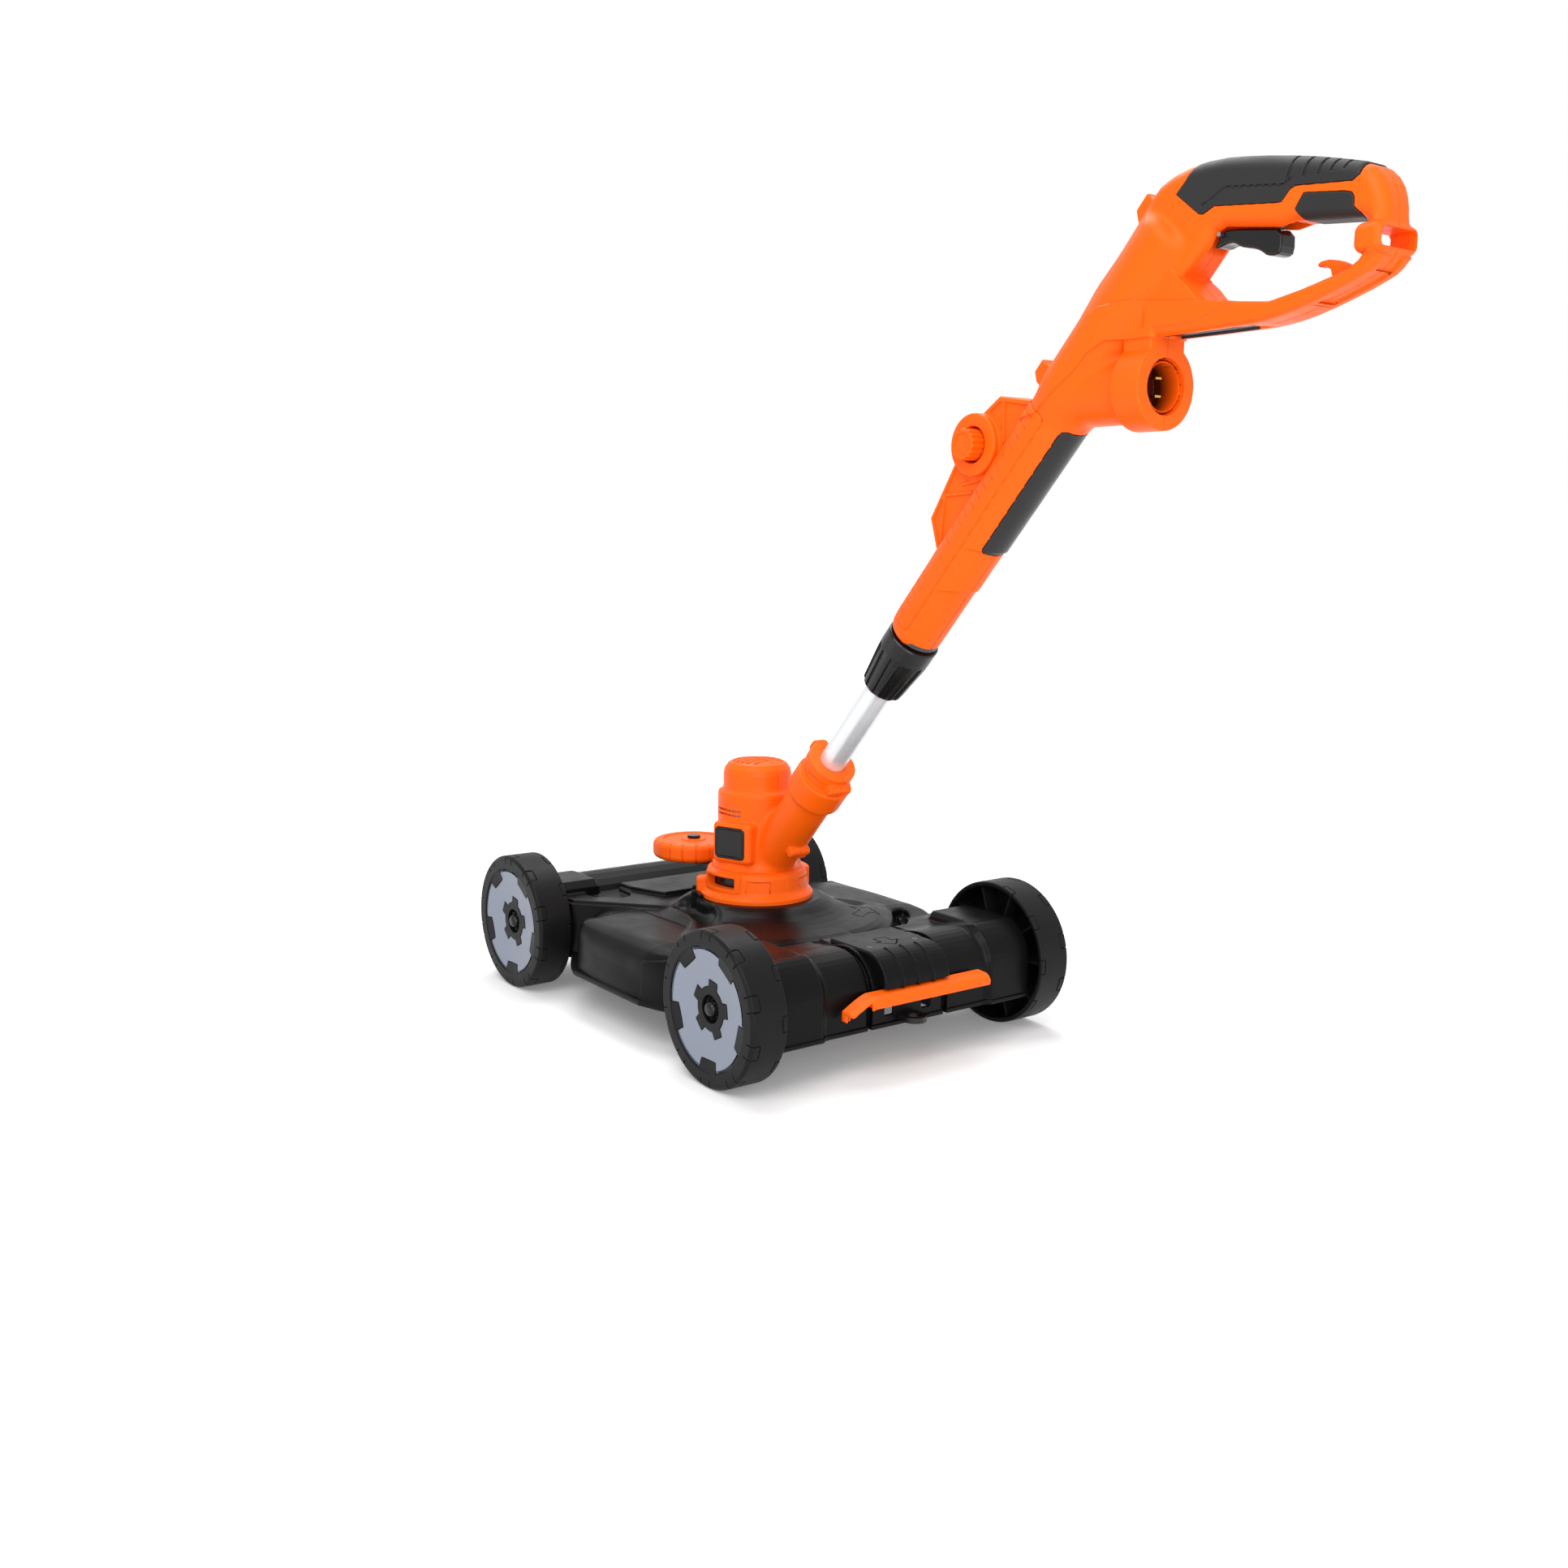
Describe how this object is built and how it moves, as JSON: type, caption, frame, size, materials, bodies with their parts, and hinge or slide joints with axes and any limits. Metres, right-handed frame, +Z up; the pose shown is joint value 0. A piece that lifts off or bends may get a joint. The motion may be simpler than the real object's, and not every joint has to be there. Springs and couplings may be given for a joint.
{
  "type": "wheeled string trimmer",
  "caption": "Corded string trimmer with a telescoping shaft and loop handle, docked by a pedal latch in a wheeled cutting deck so that it cuts grass like a small mower.",
  "frame": {"origin": "on the ground under the string head, midway between the axles", "axes": "+Z up, +Y towards the operator at the rear, +X towards the machine's left"},
  "size_m": [0.376, 0.925, 0.728],
  "materials": {
    "orange_plastic": "satin moulded",
    "deck_plastic": "fine moulded grain",
    "wheel_plastic": "moulded",
    "disc_plastic": "silver grey moulded",
    "grip_rubber": "soft textured",
    "gloss_black": "gloss",
    "steel": "zinc plated",
    "tube_metal": "pale satin",
    "blade_brass": "drawn",
    "inner_plastic": "moulded",
    "line_plastic": "extruded",
    "winding": "varnished winding"
  },
  "bodies": {
    "deck": {"deck_shell": "deck_plastic", "latch_cover": "deck_plastic", "cover_screws": "steel", "front_axle": "steel", "rear_axle": "steel", "axle_caps": "gloss_black", "rear_eye": "gloss_black", "pedal_pin": "steel", "pedal_spring": "steel"},
    "pedal": {"pedal": "orange_plastic"},
    "latch": {"latch_bar": "inner_plastic"},
    "wheel_front_left": {"wheel_front_left": "wheel_plastic", "disc_front_left": "disc_plastic"},
    "wheel_front_right": {"wheel_front_right": "wheel_plastic", "disc_front_right": "disc_plastic"},
    "wheel_rear_left": {"wheel_rear_left": "wheel_plastic", "disc_rear_left": "disc_plastic"},
    "wheel_rear_right": {"wheel_rear_right": "wheel_plastic", "disc_rear_right": "disc_plastic"},
    "trimmer": {"docking_base": "orange_plastic", "motor_housing_left": "orange_plastic", "motor_housing_right": "orange_plastic", "badge_plates": "gloss_black", "housing_screws": "steel", "motor_can": "steel", "upper_bearing": "steel", "lower_bearing": "steel", "guide_bracket": "deck_plastic", "guide_screw": "gloss_black", "shaft_tube": "tube_metal"},
    "spool": {"rotor": "winding", "cooling_fan": "inner_plastic", "spool_housing": "deck_plastic", "line_spool": "inner_plastic", "line_winding": "line_plastic", "spool_cap": "deck_plastic", "cutting_line": "line_plastic"},
    "guide": {"guide_wheel": "orange_plastic"},
    "upper": {"handle_left": "orange_plastic", "handle_right": "orange_plastic", "top_grip": "grip_rubber", "grip_pad": "grip_rubber", "handle_screws": "steel", "switch_block": "inner_plastic", "inlet_insert": "gloss_black", "inlet_blades": "blade_brass", "collet": "inner_plastic", "trigger_pin": "steel", "trigger_spring": "steel", "handle_bracket": "orange_plastic", "button_spring": "steel"},
    "collar": {"twist_collar": "gloss_black"},
    "trigger": {"trigger": "gloss_black"},
    "button": {"bracket_button": "orange_plastic"}
  },
  "joints": [
    {"name": "wheel_front_left_roll", "type": "hinge", "parent": "deck", "child": "wheel_front_left", "pos_m": [0.17, -0.185, 0.07], "axis": [1, 0, 0], "continuous": true},
    {"name": "wheel_front_right_roll", "type": "hinge", "parent": "deck", "child": "wheel_front_right", "pos_m": [-0.17, -0.185, 0.07], "axis": [1, 0, 0], "continuous": true},
    {"name": "wheel_rear_left_roll", "type": "hinge", "parent": "deck", "child": "wheel_rear_left", "pos_m": [0.17, 0.185, 0.07], "axis": [1, 0, 0], "continuous": true},
    {"name": "wheel_rear_right_roll", "type": "hinge", "parent": "deck", "child": "wheel_rear_right", "pos_m": [-0.17, 0.185, 0.07], "axis": [1, 0, 0], "continuous": true},
    {"name": "pedal_press", "type": "hinge", "parent": "deck", "child": "pedal", "pos_m": [0, 0.202, 0.066], "axis": [-1, 0, 0], "range_deg": [0, 16], "stiffness_Nm_per_rad": 1, "springref_deg": -11.46},
    {"name": "latch_draw", "type": "slide", "parent": "deck", "child": "latch", "axis": [0, 1, 0], "range_m": [0, 0.006]},
    {"name": "trimmer_lift", "type": "slide", "parent": "deck", "child": "trimmer", "axis": [0, 0, 1], "range_m": [0, 0.15], "deforming": ["cutting_line"]},
    {"name": "spool_spin", "type": "hinge", "parent": "trimmer", "child": "spool", "pos_m": [0, 0, 0.1], "axis": [0, 0, 1], "continuous": true},
    {"name": "guide_spin", "type": "hinge", "parent": "trimmer", "child": "guide", "pos_m": [0, -0.116, 0.14], "axis": [0, 0, 1], "continuous": true},
    {"name": "handle_telescope", "type": "slide", "parent": "trimmer", "child": "upper", "axis": [0, 0.6691, 0.7431], "range_m": [-0.07, 0.13]},
    {"name": "collar_twist", "type": "hinge", "parent": "upper", "child": "collar", "pos_m": [0, 0.21078, 0.36409], "axis": [0, 0.6691, 0.7431], "range_deg": [0, 90]},
    {"name": "trigger_squeeze", "type": "hinge", "parent": "upper", "child": "trigger", "pos_m": [0, 0.54301, 0.67807], "axis": [1, 0, 0], "range_deg": [0, 8], "stiffness_Nm_per_rad": 0.6, "springref_deg": -8.59, "deforming": ["trigger_spring"]},
    {"name": "button_press", "type": "slide", "parent": "upper", "child": "button", "axis": [-1, 0, 0], "range_m": [0, 0.005], "stiffness_N_per_m": 500, "springref_m": -0.004, "deforming": ["button_spring"]}
  ],
  "couplings": [
    {"joint": "latch_draw", "follows": "pedal_press", "m_per_rad": 0.0202}
  ]
}
